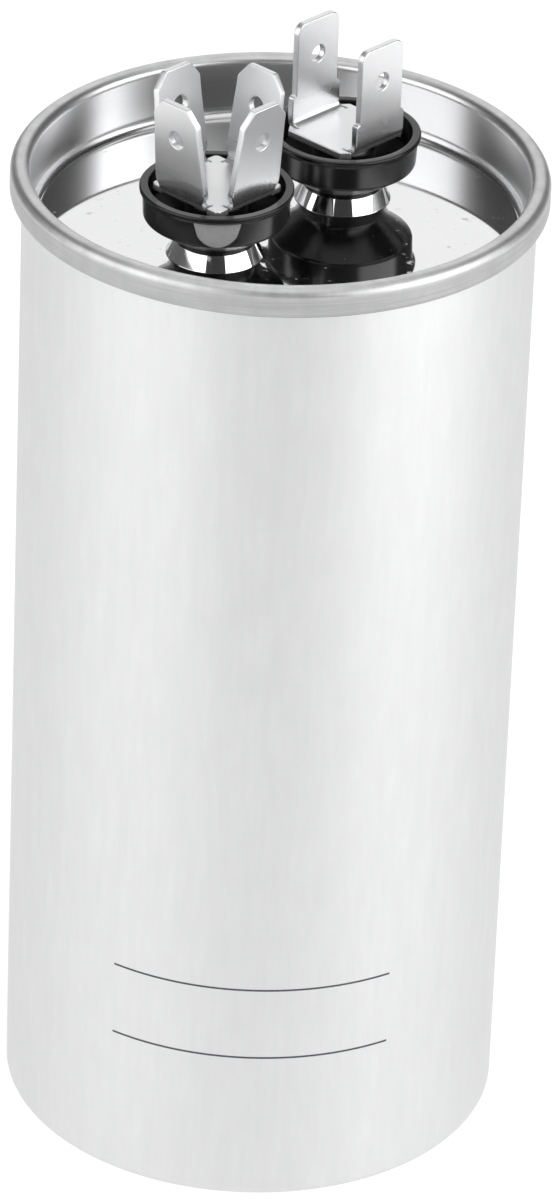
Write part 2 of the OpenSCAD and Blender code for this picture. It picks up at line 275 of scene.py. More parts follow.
def can_profile(scene):
    """Closed section of the can: base, wall and the hook inside the seam."""
    s = seam_sizes(scene)
    can = scene.capacitor_can
    sheet = can.sheet
    edge = can.base_edge
    fold = s["fold_in"]
    crest = s["crest_in"]
    edge_x = s["wall"] - edge
    points = [(0, 0)]
    points += arc(edge_x, edge, edge, -90, 0, 10)
    points += [(s["wall"], s["seam"]), (s["wall"] - SEAM_DRAFT, s["clamp"]), (s["hook_in"], s["clamp"])]
    points += arc(s["hook_in"] + fold, s["hook_tip"] + fold, fold, 180, 270, 4)
    points += arc(s["hook_out"] - fold, s["hook_tip"] + fold, fold, -90, 0, 4)
    points += arc(s["hook_out"] - crest, s["hook_top"] - crest, crest, 0, 90, 6)
    points += arc(s["inner"] + crest, s["hook_top"] - crest, crest, 90, 180, 6)
    points += arc(edge_x, edge, edge - sheet, 0, -90, 6)
    points += [(0, sheet), (0, 0)]
    return points


def rim_profile(scene):
    """Open section of the lid from the panel over the seam and back under the panel."""
    s = seam_sizes(scene)
    lid = scene.capacitor_lid
    corner = lid.corner
    fold_in = s["fold_in"]
    fold_out = s["fold_out"]
    crest_in = s["crest_in"]
    crest_out = s["crest_out"]
    low = s["seam"] + fold_out
    high = s["crest"] - crest_out
    foot = s["recess"] - corner
    crest_left = s["recess"] + crest_out
    crest_right = s["outer"] - crest_out
    fold_left = s["wall"] + fold_out
    fold_right = s["outer"] - fold_out
    points = [(foot - PANEL_MARGIN, s["panel"])]
    points += arc(foot, s["panel"] + corner, corner, -90, 0, 12)
    points += arc(crest_left, high, crest_out, 180, 90, 12)
    points += arc(crest_right, high, crest_out, 90, 0, 12)
    points += arc(fold_right, low, fold_out, 0, -90, 8)
    points += arc(fold_left, low, fold_out, -90, -180, 8)
    points += [(s["wall"] - SEAM_DRAFT, s["clamp"]), (s["hook_in"], s["clamp"])]
    points += arc(fold_left, low, fold_in, 180, 270, 4)
    points += arc(fold_right, low, fold_in, -90, 0, 4)
    points += arc(crest_right, high, crest_in, 0, 90, 6)
    points += arc(crest_left, high, crest_in, 90, 180, 6)
    points += arc(foot, s["panel"] + corner, corner + lid.sheet, 0, -90, 8)
    points += [(foot - PANEL_MARGIN, s["under"])]
    return points


def boss_profile(scene):
    """Open section of a boss from the panel up, through the hole and back under the panel."""
    s = seam_sizes(scene)
    lid = scene.capacitor_lid
    top = lid.boss_radius
    foot = top + lid.boss_flare
    slope = lid.boss_flare / lid.boss_height
    inside = lid.boss_flare * lid.sheet / lid.boss_height - lid.sheet * math.hypot(1, slope)
    hole = SPIGOT_RADIUS
    out = foot + PANEL_MARGIN
    points = [(out, s["panel"])]
    points += rounded((out, s["panel"]), (foot, s["panel"]), (top, s["boss"]), BOSS_EDGE, 5)
    points += rounded((foot, s["panel"]), (top, s["boss"]), (hole, s["boss"]), BOSS_EDGE, 5)
    points += [(hole, s["boss"]), (hole, s["boss_under"])]
    points += [(top + inside, s["boss_under"]), (foot + inside, s["under"]), (out, s["under"])]
    return points


def rounded(a, b, c, radius, steps):
    """Points of a rounded corner at b on the way from a to c."""
    a, b, c = Vector(a), Vector(b), Vector(c)
    u = (a - b).normalized()
    v = (c - b).normalized()
    half = u.angle(v) / 2
    reach = radius / math.tan(half)
    centre = b + (u + v).normalized() * (radius / math.sin(half))
    first = b + u * reach - centre
    last = b + v * reach - centre
    spread = first.angle(last)
    points = []
    for i in range(steps + 1):
        t = i / steps
        p = centre + (first * math.sin((1 - t) * spread) + last * math.sin(t * spread)) / math.sin(spread)
        points.append((p.x, p.y))
    return points


def cup_band(scene):
    """Radii of a cup's band at its head and at its foot, and the height of the rim."""
    cup = scene.capacitor_cup
    wall = cup.rim_radius - LIP_OVERHANG
    return wall, wall - BAND_DRAFT, seam_sizes(scene)["boss"] + cup.height


def plate_height(scene):
    """Height of the upper face of the terminal plates."""
    return cup_band(scene)[2] + PLATE_LIFT


def gate_plane(scene):
    """Foot and head of the gate flat as (radius, height) in a plane through the cup axis."""
    cup = scene.capacitor_cup
    wall, low, rim = cup_band(scene)
    foot = (low - GATE_FOOT * cup.wall, rim - cup.band - GATE_RUN)
    return foot, (wall - cup.gate_depth, rim - cup.lip)


def cup_profile(scene):
    """Closed section of a cup: spigot, tapered underside, band, lip, inside and pillar."""
    cup = scene.capacitor_cup
    s = seam_sizes(scene)
    base, under = s["boss"], s["boss_under"]
    wall, low, rim = cup_band(scene)
    neck = (scene.capacitor_lid.boss_radius - NECK_INSET, base + NECK_HEIGHT)
    foot = (low, rim - cup.band)
    head = (wall, rim - cup.lip)
    lip = (cup.rim_radius, rim - LIP_BAND)
    inner = wall - cup.wall
    taper = (foot[0] - neck[0]) / (foot[1] - neck[1])
    floor = neck[1] + cup.wall
    corner = foot[1] + (inner - low + cup.wall * math.sqrt(1 + taper * taper)) / taper
    pillar = plate_height(scene) - scene.capacitor_blade.sheet - RIVET_HEAD
    points = [(SPIGOT_RADIUS, under), (SPIGOT_RADIUS, base)]
    points += [(neck[0] - SPIGOT_CHAMFER, base), (neck[0], base + SPIGOT_CHAMFER)]
    points += rounded((neck[0], base), neck, foot, NECK_ROUND, 4)
    points += rounded(neck, foot, head, FOOT_ROUND, 6)
    points += rounded(foot, head, lip, HEAD_ROUND, 4)
    points += rounded(head, lip, (cup.rim_radius, rim), RIM_ROUND, 4)
    points += arc(cup.rim_radius - RIM_ROUND, rim - RIM_ROUND, RIM_ROUND, 0, 90, 6)
    points += arc(inner + MOUTH_ROUND, rim - MOUTH_ROUND, MOUTH_ROUND, 90, 180, 5)
    points += [(inner, corner), (inner - taper * (corner - floor), floor), (PILLAR_RADIUS, floor)]
    points += [(PILLAR_RADIUS, pillar - PILLAR_CHAMFER), (PILLAR_RADIUS - PILLAR_CHAMFER, pillar)]
    points += [(SHANK_RADIUS, pillar), (SHANK_RADIUS, under), (SPIGOT_RADIUS, under)]
    return points


# helpers for objects and nodes


def new_object(name, data):
    """A new object in the scene."""
    obj = bpy.data.objects.new(name, data)
    bpy.context.scene.collection.objects.link(obj)
    return obj


def mesh_object(name, bm):
    """A new mesh object in the scene from a finished bmesh."""
    mesh = bpy.data.meshes.new(name)
    bm.to_mesh(mesh)
    bm.free()
    return new_object(name, mesh)


def freeze(obj):
    """Puts the result of an object's modifiers in place of its mesh."""
    before = obj.data
    after = bpy.data.meshes.new_from_object(obj.evaluated_get(bpy.context.evaluated_depsgraph_get()))
    obj.modifiers.clear()
    obj.data = after
    bpy.data.meshes.remove(before)


def feed(tree, socket, value):
    """Links an input to another node's output, or sets it to a plain value."""
    if isinstance(value, bpy.types.NodeSocket):
        tree.links.new(value, socket)
    else:
        socket.default_value = value


def fed_node(tree, kind, values):
    """A new node with its inputs fed by their labels."""
    node = tree.nodes.new(kind)
    for label, value in values.items():
        feed(tree, node.inputs[label], value)
    return node


def math_node(tree, operation, *values, clamp=False):
    """Output of a Math node."""
    node = tree.nodes.new("ShaderNodeMath")
    node.operation = operation
    node.use_clamp = clamp
    for socket, value in zip(node.inputs, values):
        feed(tree, socket, value)
    return node.outputs[0]


def range_node(tree, value, low, high, start, end):
    """Output of a Map Range node that takes (start, end) to (low, high)."""
    values = {"Value": value, "From Min": start, "From Max": end, "To Min": low, "To Max": high}
    return fed_node(tree, "ShaderNodeMapRange", values).outputs[0]


def noise_node(tree, vector, scale, detail, roughness):
    """Output of a noise texture."""
    values = {"Vector": vector, "Scale": scale, "Detail": detail, "Roughness": roughness}
    return fed_node(tree, "ShaderNodeTexNoise", values).outputs[0]


def split_node(tree, vector):
    """The three parts of a vector."""
    return fed_node(tree, "ShaderNodeSeparateXYZ", {"Vector": vector}).outputs


# turned pieces, made by one tree of geometry nodes


def turned_tree():
    """Geometry nodes that turn a profile of points about an upright axis."""
    name = "Turned piece"
    if name in bpy.data.node_groups:
        return bpy.data.node_groups[name]
    tree = bpy.data.node_groups.new(name, "GeometryNodeTree")
    sockets = (
        ("Profile", "NodeSocketGeometry"),
        ("Segments", "NodeSocketInt"),
        ("Axis X", "NodeSocketFloat"),
        ("Start", "NodeSocketFloat"),
        ("Sweep", "NodeSocketFloat"),
        ("Material", "NodeSocketMaterial"),
    )
    for label, kind in sockets:
        tree.interface.new_socket(label, in_out="INPUT", socket_type=kind)
    tree.interface.new_socket("Piece", in_out="OUTPUT", socket_type="NodeSocketGeometry")
    new = tree.nodes.new
    link = tree.links.new

    def calc(operation, *values):
        return math_node(tree, operation, *values)

    source = new("NodeGroupInput").outputs
    count = new("GeometryNodeAttributeDomainSize")
    count.component = "MESH"
    link(source["Profile"], count.inputs[0])
    points = count.outputs["Point Count"]
    grid = new("GeometryNodeMeshGrid")
    link(calc("ADD", source["Segments"], 1), grid.inputs["Vertices X"])
    link(points, grid.inputs["Vertices Y"])
    index = new("GeometryNodeInputIndex").outputs[0]
    # the grid's points run along the profile first, and half a point keeps the division clear of rounding
    step = calc("FLOOR", calc("DIVIDE", calc("ADD", index, 0.5), points))
    row = calc("SUBTRACT", index, calc("MULTIPLY", step, points))
    sample = new("GeometryNodeSampleIndex")
    sample.data_type = "FLOAT_VECTOR"
    sample.domain = "POINT"
    link(source["Profile"], sample.inputs["Geometry"])
    link(new("GeometryNodeInputPosition").outputs[0], sample.inputs["Value"])
    link(row, sample.inputs["Index"])
    radius, _, height = split_node(tree, sample.outputs["Value"])
    share = calc("DIVIDE", step, source["Segments"])
    turn = calc("ADD", source["Start"], calc("MULTIPLY", source["Sweep"], share))
    across = calc("MULTIPLY", radius, calc("COSINE", turn))
    place = new("ShaderNodeCombineXYZ")
    link(calc("ADD", source["Axis X"], across), place.inputs["X"])
    link(calc("MULTIPLY", radius, calc("SINE", turn)), place.inputs["Y"])
    link(height, place.inputs["Z"])
    put = new("GeometryNodeSetPosition")
    link(grid.outputs["Mesh"], put.inputs["Geometry"])
    link(place.outputs[0], put.inputs["Position"])
    weld = new("GeometryNodeMergeByDistance")
    weld.inputs["Distance"].default_value = WELD
    link(put.outputs[0], weld.inputs["Geometry"])
    real = new("GeometryNodeRealizeInstances")
    link(weld.outputs[0], real.inputs[0])
    paint = new("GeometryNodeSetMaterial")
    link(real.outputs[0], paint.inputs["Geometry"])
    link(source["Material"], paint.inputs["Material"])
    link(paint.outputs[0], new("NodeGroupOutput").inputs[0])
    return tree


def turned(name, profile, segments, material, axis_x=0.0, start=0.0, sweep=2 * math.pi):
    """A plain mesh object turned from a profile of (radius, height) points."""
    mesh = bpy.data.meshes.new(name)
    mesh.from_pydata([(r, 0, z) for r, z in profile], [(i, i + 1) for i in range(len(profile) - 1)], [])
    obj = new_object(name, mesh)
    tree = turned_tree()
    mod = obj.modifiers.new("Turned", "NODES")
    mod.node_group = tree
    values = {"Segments": segments, "Axis X": axis_x, "Start": start, "Sweep": sweep, "Material": material}
    for item in tree.interface.items_tree:
        if item.in_out == "INPUT" and item.name in values:
            mod[item.identifier] = values[item.name]
    freeze(obj)
    return obj


def settle(obj, material, crisp):
    """Outward normals, smooth shading with edges that stay crisp past an angle, and the material."""
    bm = bmesh.new()
    bm.from_mesh(obj.data)
    bmesh.ops.remove_doubles(bm, verts=bm.verts, dist=WELD)
    bmesh.ops.dissolve_degenerate(bm, edges=bm.edges, dist=FINE_WELD)
    bmesh.ops.recalc_face_normals(bm, faces=bm.faces)
    bm.to_mesh(obj.data)
    bm.free()
    obj.data.shade_smooth()
    obj.data.set_sharp_from_angle(angle=math.radians(crisp))
    obj.data.materials.clear()
    obj.data.materials.append(material)


def even_normals(mesh, planar, limit):
    """Normals that keep planar faces planar, with rounded edges and bends running into them.

    Faces that meet at more than the limit, in degrees, stay apart.
    """
    around = [[] for _ in mesh.vertices]
    for face in mesh.polygons:
        for v in face.vertices:
            around[v].append(face.index)
    near = math.cos(math.radians(limit))
    faces = mesh.polygons
    normals = []
    for face in faces:
        for v in face.vertices:
            if face.index in planar:
                normals.append(face.normal)
                continue
            close = [faces[i] for i in around[v] if faces[i].normal.dot(face.normal) > near]
            firm = [f.normal for f in close if f.index in planar]
            if firm:
                normals.append(sum(firm, Vector()).normalized())
            else:
                normals.append(sum((f.normal * f.area for f in close), Vector()).normalized())
    mesh.shade_smooth()
    mesh.normals_split_custom_set(normals)


def seat(obj, node):
    """Puts a piece on the frame in place of its plain solid."""
    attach(obj, BODY)
    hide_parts(node)


# folded sheet


def inset(points, distance):
    """A closed loop moved into the sheet, which lies on its left."""
    moved = []
    n = len(points)
    for i in range(n):
        a = Vector(points[i]) - Vector(points[i - 1])
        b = Vector(points[(i + 1) % n]) - Vector(points[i])
        na = Vector((-a.y, a.x)).normalized()
        nb = Vector((-b.y, b.x)).normalized()
        moved.append(Vector(points[i]) + (na + nb) * (distance / max(MITRE_LIMIT, 1 + na.dot(nb))))
    return moved


def flat_sheet(loops, sheet, edge):
    """A flat blank with rounded stamped edges, its upper face at z = 0."""
    bm = bmesh.new()
    middle = (1 - math.sqrt(0.5)) * edge
    rings = [(edge, 0), (middle, -middle), (0, -edge)]
    rings += [(d, -sheet - z) for d, z in reversed(rings)]
    top = []
    bottom = []
    for loop in loops:
        rows = [[bm.verts.new((p[0], p[1], z)) for p in inset(loop, d)] for d, z in rings]
        n = len(loop)
        for upper, lower in zip(rows, rows[1:]):
            for i in range(n):
                j = (i + 1) % n
                bm.faces.new((upper[i], upper[j], lower[j], lower[i]))
        for row, store in ((rows[0], top), (rows[-1], bottom)):
            store += [bm.edges.get((row[i], row[(i + 1) % n])) for i in range(n)]
    for edges in (top, bottom):
        bmesh.ops.triangle_fill(bm, use_beauty=True, use_dissolve=False, edges=edges)
    bmesh.ops.remove_doubles(bm, verts=bm.verts, dist=FINE_WELD)
    bmesh.ops.recalc_face_normals(bm, faces=bm.faces)
    return bm


def ring_of_hole(x, y, radius, steps=28):
    """A hole as a clockwise loop."""
    turns = [-2 * math.pi * i / steps for i in range(steps)]
    return [(x + radius * math.cos(t), y + radius * math.sin(t)) for t in turns]


def bend_arms(bm, directions, line, bend, lean, sheet, in_arm, steps=12):
    """Bends the arms of a flat blank up about their bend lines."""
    angle = math.pi / 2 - lean
    run = (bend + sheet / 2) * angle
    for direction in directions:
        turn = Matrix.Rotation(direction, 3, "Z")
        out = turn @ Vector((1, 0, 0))
        for i in range(steps + 1):
            geometry = list(bm.verts) + list(bm.edges) + list(bm.faces)
            cut = out * (line + run * i / steps)
            bmesh.ops.bisect_plane(bm, geom=geometry, dist=CUT_SNAP, plane_co=cut, plane_no=out)
    bent = set()
    for direction in directions:
        turn = Matrix.Rotation(direction, 3, "Z")
        back = turn.transposed()
        for v in bm.verts:
            if v in bent:
                continue
            p = back @ v.co
            if p.x <= line + BEND_SLACK or not in_arm(p):
                continue
            along = p.x - line
            radius = bend - p.z
            swing = min(along / run, 1) * angle
            rest = max(0, along - run)
            x = line + radius * math.sin(swing) + rest * math.cos(swing)
            z = bend - radius * math.cos(swing) + rest * math.sin(swing)
            v.co = turn @ Vector((x, p.y, z))
            bent.add(v)
    bm.normal_update()


def place_terminal(scene, name, bm, side, lean, material):
    """A finished terminal object from its folded blank, on one side of the can axis."""
    turns = [Matrix.Rotation(math.radians(a), 3, "Z") for a in (0, 90, 180, 270)]
    flats = [Vector((0, 0, 1))] + [turn @ Vector((math.cos(lean), 0, -math.sin(lean))) for turn in turns]
    bm.faces.ensure_lookup_table()
    planar = set()
    for face in bm.faces:
        if face.calc_area() > FLAT_AREA and any(abs(face.normal.dot(n)) > FLAT_COSINE for n in flats):
            planar.add(face.index)
    bmesh.ops.translate(bm, verts=bm.verts, vec=(side * scene.capacitor_cup.axis, 0, plate_height(scene)))
    obj = mesh_object(name, bm)
    obj.data.materials.append(material)
    even_normals(obj.data, planar, limit=50)
    return obj


# shader groups


def shader_group(name, inputs, outputs):
    """An empty shader node group with named sockets."""
    tree = bpy.data.node_groups.new(name, "ShaderNodeTree")
    for label, kind, value in inputs:
        socket = tree.interface.new_socket(label, in_out="INPUT", socket_type=kind)
        socket.default_value = value
    for label, kind in outputs:
        tree.interface.new_socket(label, in_out="OUTPUT", socket_type=kind)
    return tree


def sheet_grain():
    """Grain drawn out along one direction: a tone from 0 to 1 and a height."""
    name = "Sheet grain"
    if name in bpy.data.node_groups:
        return bpy.data.node_groups[name]
    inputs = [
        ("Vector", "NodeSocketVector", (0, 0, 0)),
        ("Stretch", "NodeSocketVector", (1, 1, 1)),
        ("Contrast", "NodeSocketFloat", 1),
    ]
    tree = shader_group(name, inputs, [("Tone", "NodeSocketFloat"), ("Height", "NodeSocketFloat")])
    source = tree.nodes.new("NodeGroupInput").outputs
    result = tree.nodes.new("NodeGroupOutput").inputs
    drawn = tree.nodes.new("ShaderNodeVectorMath")
    drawn.operation = "MULTIPLY"
    tree.links.new(source["Vector"], drawn.inputs[0])
    tree.links.new(source["Stretch"], drawn.inputs[1])
    noise = noise_node(tree, drawn.outputs[0], scale=1, detail=3, roughness=0.6)
    middle = 0.5
    centred = math_node(tree, "SUBTRACT", noise, middle)
    tone = math_node(tree, "MULTIPLY_ADD", centred, source["Contrast"], middle, clamp=True)
    tree.links.new(tone, result["Tone"])
    tree.links.new(noise, result["Height"])
    return tree


def handling_marks():
    """Small scattered specks and smudges left by handling, as a mask."""
    name = "Handling marks"
    if name in bpy.data.node_groups:
        return bpy.data.node_groups[name]
    inputs = [
        ("Vector", "NodeSocketVector", (0, 0, 0)),
        ("Scale", "NodeSocketFloat", 300),
        ("Cover", "NodeSocketFloat", 0.3),
    ]
    tree = shader_group(name, inputs, [("Mask", "NodeSocketFloat")])
    source = tree.nodes.new("NodeGroupInput").outputs
    result = tree.nodes.new("NodeGroupOutput").inputs
    noise = noise_node(tree, source["Vector"], source["Scale"], detail=4, roughness=0.65)
    bare_level = 0.8
    steepness = 9
    level = math_node(tree, "SUBTRACT", bare_level, source["Cover"])
    rise = math_node(tree, "SUBTRACT", noise, level)
    tree.links.new(math_node(tree, "MULTIPLY", rise, steepness, clamp=True), result["Mask"])
    return tree


# finishes


class Finish:
    """A material under construction."""

    def __init__(self, name):
        self.material = bpy.data.materials.new(name)
        self.material.use_nodes = True
        self.tree = self.material.node_tree
        self.bsdf = self.tree.nodes["Principled BSDF"]
        self.place = self.tree.nodes.new("ShaderNodeTexCoord").outputs["Object"]

    def put(self, label, value):
        """Feeds one input of the surface shader."""
        feed(self.tree, self.bsdf.inputs[label], value)

    def group(self, tree, **values):
        """Outputs of a shader group with its own values."""
        node = self.tree.nodes.new("ShaderNodeGroup")
        node.node_tree = tree
        feed(self.tree, node.inputs["Vector"], self.place)
        for label, value in values.items():
            feed(self.tree, node.inputs[label], value)
        return node.outputs

    def grain(self, stretch, contrast):
        """Tone and height of the sheet grain."""
        return self.group(sheet_grain(), Stretch=stretch, Contrast=contrast)

    def marks(self, scale, cover):
        """Mask of the handling marks."""
        return self.group(handling_marks(), Scale=scale, Cover=cover)["Mask"]

    def mix(self, factor, a, b):
        """Colour a to b by a factor."""
        node = self.tree.nodes.new("ShaderNodeMix")
        node.data_type = "RGBA"
        feed(self.tree, node.inputs["Factor"], factor)
        # sockets 6 and 7 take the colours, and output 2 gives the mixed one
        for socket, value in ((node.inputs[6], a), (node.inputs[7], b)):
            feed(self.tree, socket, value if isinstance(value, bpy.types.NodeSocket) else (*value, 1))
        return node.outputs[2]

    def span(self, value, low, high, start=0, end=1):
        """Maps a value from (start, end) to (low, high)."""
        return range_node(self.tree, value, low, high, start, end)

    def fade(self, value, edge, reach, low=0, high=1):
        """Runs from low to high over a stretch that is given from an edge."""
        return self.span(value, low, high, edge + reach[0], edge + reach[1])

    def math(self, operation, *values):
        """Output of a Math node in this material."""
        return math_node(self.tree, operation, *values)

    def times(self, a, b):
        """Product of two values."""
        return self.math("MULTIPLY", a, b)

    def plus(self, a, b):
        """Sum of two values."""
        return self.math("ADD", a, b)

    def bump(self, height, distance, strength):
        """Fine relief of the surface."""
        values = {"Height": height, "Distance": distance, "Strength": strength}
        self.put("Normal", fed_node(self.tree, "ShaderNodeBump", values).outputs[0])

    def radius(self):
        """Distance from the can axis, and height."""
        x, y, z = split_node(self.tree, self.place)
        return self.math("SQRT", self.plus(self.times(x, x), self.times(y, y))), z

    def gate(self, scene):
        """Mask of the pale U-shaped patch that is painted on the gate flat of the front cup."""
        cup = scene.capacitor_cup
        low, high = gate_plane(scene)
        band = cup_band(scene)[2] - cup.band
        values = {"Vector": self.place, "Location": (-cup.axis, 0, 0), "Rotation": (0, 0, cup.gate_turn)}
        turn = fed_node(self.tree, "ShaderNodeMapping", values)
        turn.vector_type = "TEXTURE"
        x, y, z = split_node(self.tree, turn.outputs[0])
        plane = self.span(z, low[0], high[0], low[1], high[1])
        inside = self.fade(self.math("SUBTRACT", x, plane), 0, GATE_FADE)
        under = self.fade(z, high[1], GATE_TOP_FADE, 1, 0)
        across = self.times(y, 1 / GATE_HALF_WIDTH)
        down = self.span(z, 1, 0, band - GATE_TAIL, high[1])
        bow = self.plus(self.times(across, across), self.math("POWER", down, GATE_BOW))
        round_end = self.fade(bow, 0, GATE_END_FADE, 1, 0)
        return self.times(inside, self.times(under, round_end))


def even(scale):
    """Stretch of a grain that is the same in all directions."""
    return (scale, scale, scale)


def shade(tone, factor):
    """A colour made darker or lighter."""
    return tuple(min(1, part * factor) for part in tone)


def can_finish(scene):
    """Satin drawn metal with faint upright draw lines and a few specks."""
    c = scene.capacitor_finish.can
    f = Finish("Can satin metal")
    f.put("Metallic", 1)
    f.put("Anisotropic", 0.42)
    f.put("Anisotropic Rotation", 0.25)
    lines = f.grain((900, 900, 110), contrast=1.9)
    cloud = f.grain((300, 300, 170), contrast=2.0)
    tone = f.mix(lines["Tone"], shade(c, 0.96), shade(c, 1.035))
    tone = f.mix(f.times(cloud["Tone"], 0.6), tone, shade(c, 0.955))
    tone = f.mix(f.times(f.marks(scale=1500, cover=0.03), 0.4), tone, shade(c, 0.6))
    f.put("Base Color", tone)
    f.put("Roughness", f.span(f.plus(lines["Tone"], cloud["Tone"]), low=0.40, high=0.46, start=0, end=2))
    f.bump(lines["Height"], distance=0.000004, strength=0.2)
    return f.material


def lid_finish(scene):
    """Bright plated lid: a mirror panel, a recess wall with soft streaks and painted shade, and a satin seam
    with a painted highlight on its crest.
    """
    c = scene.capacitor_finish.lid
    s = seam_sizes(scene)
    f = Finish("Lid bright metal")
    f.put("Metallic", 1)
    r, z = f.radius()
    wall = f.fade(r, s["recess"], WALL_FADE)
    outside = f.fade(r, s["recess"], SEAM_FADE)
    crest = f.fade(z, s["crest"], CREST_FADE)
    rings = f.grain((30, 30, 2600), contrast=1.8)
    rolled = f.grain((70, 70, 9000), contrast=2.0)
    mottle = f.grain((380, 380, 300), contrast=2.4)
    specks = f.times(f.marks(scale=800, cover=0.16), f.span(wall, 1, 0.2))
    # The recess wall is painted darker than the panel: painted shade in the recess. The ring streaks mixed
    # in below are grain.
    tone = f.mix(wall, c, shade(c, 0.8))
    tone = f.mix(f.times(rings["Tone"], f.span(wall, 0.1, 0.04)), tone, shade(c, 0.3))
    seam = f.mix(rolled["Tone"], shade(c, 0.45), shade(c, 0.66))
    # The crest of the seam is painted lighter than its outer face: a painted highlight on the top of the
    # seam.
    seam = f.mix(crest, seam, shade(c, 0.84))
    seam = f.mix(f.times(mottle["Tone"], 0.4), seam, shade(c, 0.42))
    tone = f.mix(outside, tone, seam)
    f.put("Base Color", f.mix(f.times(specks, 0.4), tone, shade(c, 0.45)))
    rough = f.plus(f.span(rings["Tone"], 0.03, 0.05), f.times(wall, 0.25))
    rough = f.plus(rough, f.times(outside, f.span(rolled["Tone"], 0.12, 0.2)))
    f.put("Roughness", f.plus(rough, f.times(specks, 0.4)))
    ridges = f.times(rolled["Height"], outside)
    height = f.plus(f.times(rings["Height"], f.span(wall, 1, 0.04)), ridges)
    f.bump(height, distance=0.000005, strength=0.25)
    return f.material


def cup_finish(scene):
    """Black glossy moulding with a soft mould texture, a little dust and a pale U-shaped patch painted on
    the gate flat.
    """
    c = scene.capacitor_finish.cup
    pale = scene.capacitor_finish.gate
    f = Finish("Cup black moulding")
    f.put("Specular IOR Level", 0.5)
    skin = f.grain(even(900), contrast=1.4)
    gate = f.gate(scene)
    tone = f.mix(f.marks(scale=1600, cover=0.1), c, shade(c, 3))
    # pale U-shaped patch painted on the gate flat, with a little grain
    cut = f.mix(skin["Tone"], shade(pale, 0.9), shade(pale, 1.1))
    f.put("Base Color", f.mix(gate, tone, cut))
    f.put("Roughness", f.plus(f.span(skin["Tone"], 0.18, 0.26), f.times(gate, 0.3)))
    f.bump(skin["Height"], distance=0.00001, strength=0.25)
    return f.material


def blade_finish(scene):
    """Satin tinned sheet, smoother and more metallic at the feet, with grain and faint smudges."""
    c = scene.capacitor_finish.blade
    f = Finish("Blade tinned metal")
    plate = plate_height(scene)
    z = f.radius()[1]
    foot = f.times(f.fade(z, plate, FOOT_RISE), f.fade(z, plate, FOOT_FADE, 1, 0))
    grain = f.grain((1300, 1300, 90), contrast=1.5)
    smudge = f.marks(scale=220, cover=0.25)
    tone = f.mix(grain["Tone"], shade(c, 0.985), shade(c, 1.015))
    f.put("Base Color", f.mix(f.times(smudge, 0.08), tone, shade(c, 0.82)))
    f.put("Metallic", f.span(foot, 0.88, 0.96))
    rough = f.plus(f.span(grain["Tone"], 0.32, 0.34), f.times(smudge, 0.04))
    f.put("Roughness", f.math("SUBTRACT", rough, f.times(foot, 0.09)))
    f.bump(grain["Height"], distance=0.000002, strength=0.05)
    return f.material


def ink_finish(scene):
    """Dark printed ink, slightly uneven."""
    c = scene.capacitor_finish.ink
    f = Finish("Rule ink")
    patch = f.grain(even(2500), contrast=2)
    f.put("Base Color", f.mix(patch["Tone"], shade(c, 0.8), shade(c, 1.9)))
    f.put("Roughness", f.span(patch["Tone"], 0.5, 0.65))
    return f.material


def plain_finish(name, c, metal, rough, stretch):
    """Finish of a piece inside the can."""
    f = Finish(name)
    f.put("Metallic", metal)
    grain = f.grain(stretch, contrast=1.5)
    f.put("Base Color", f.mix(grain["Tone"], shade(c, 0.85), shade(c, 1.08)))
    f.put("Roughness", f.span(grain["Tone"], rough * 0.85, rough * 1.15))
    f.bump(grain["Height"], distance=0.00002, strength=0.3)
    return f.material


# operators


class CAPACITOR_OT_can(bpy.types.Operator):
    """Drawn can with its base edge and the hook that is folded into the seam"""

    bl_idname = "capacitor.can"
    bl_label = "Can"

    def execute(self, context):
        scene = context.scene
        material = can_finish(scene)
        obj = turned("can_shell", can_profile(scene), scene.capacitor_can.segments, material)
        settle(obj, material, crisp=30)
        seat(obj, "can")
        return {"FINISHED"}


class CAPACITOR_OT_lid(bpy.types.Operator):
    """Sunk lid with its rolled seam, panel and raised bosses"""

    bl_idname = "capacitor.lid"
    bl_label = "Lid"

    def execute(self, context):
        scene = context.scene
        s = seam_sizes(scene)
        material = lid_finish(scene)
        axis = scene.capacitor_cup.axis
        rim = turned("lid_plate", rim_profile(scene), scene.capacitor_can.segments, material)
        profile = boss_profile(scene)
        bosses = [turned("boss", profile, BOSS_SEGMENTS, material, axis_x=x) for x in (-axis, axis)]
        bm = bmesh.new()
        for obj in (rim, *bosses):
            bm.from_mesh(obj.data)
        for boss in bosses:
            bpy.data.objects.remove(boss)
        bmesh.ops.remove_doubles(bm, verts=bm.verts, dist=WELD)
        for height in (s["panel"], s["under"]):
            open_edges = [e for e in bm.edges if e.is_boundary]
            edges = [e for e in open_edges if all(abs(v.co.z - height) < WELD for v in e.verts)]
            if not edges:
                raise RuntimeError("the lid panel has no open edge to fill")
            bmesh.ops.triangle_fill(bm, use_beauty=True, use_dissolve=False, edges=edges)
        bm.to_mesh(rim.data)
        bm.free()
        settle(rim, material, crisp=35)
        seat(rim, "lid")
        return {"FINISHED"}


